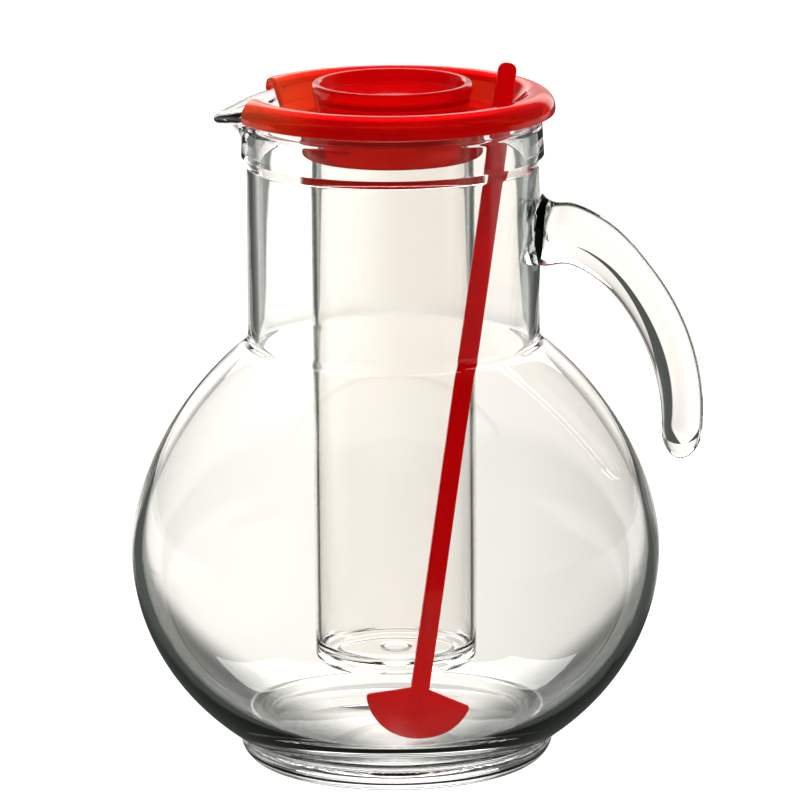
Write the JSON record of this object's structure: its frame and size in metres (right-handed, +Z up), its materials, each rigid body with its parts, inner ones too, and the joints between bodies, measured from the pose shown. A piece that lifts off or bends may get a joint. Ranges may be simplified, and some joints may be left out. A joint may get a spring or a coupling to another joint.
{
  "type": "pitcher with ice core",
  "caption": "Round glass pitcher with a hooked handle, a plastic lid that hangs a closed ice tube inside the jug, and a paddle stirrer through the lid.",
  "frame": {"origin": "centre of the foot ring, on the surface that the jug stands on", "axes": "+Z up along the jug's axis, +X towards the handle, -X towards the spout"},
  "size_m": [0.1793, 0.1652, 0.2219],
  "materials": {
    "jug_glass": "clear, fire-polished",
    "lid_plastic": "glossy translucent red",
    "tube_plastic": "clear plastic, polished",
    "stirrer_plastic": "glossy red"
  },
  "bodies": {
    "jug": {"jug_body": "jug_glass", "jug_handle": "jug_glass"},
    "lid": {"lid": "lid_plastic"},
    "cap": {"tube_cap": "lid_plastic"},
    "tube": {"ice_tube": "tube_plastic"},
    "stirrer": {"stirrer": "stirrer_plastic"}
  },
  "joints": [
    {"name": "lid_lift", "type": "slide", "parent": "jug", "child": "lid", "axis": [0, 0, 1], "range_m": [0, 0.2]},
    {"name": "cap_lift", "type": "slide", "parent": "lid", "child": "cap", "axis": [0, 0, 1], "range_m": [0, 0.03]},
    {"name": "tube_turn", "type": "hinge", "parent": "lid", "child": "tube", "pos_m": [0, 0, 0.2], "axis": [0, 0, 1], "range_deg": [0, 45]},
    {"name": "stirrer_slide", "type": "slide", "parent": "lid", "child": "stirrer", "axis": [0.1249, 0.1659, 0.9782], "range_m": [0, 0.03]}
  ]
}
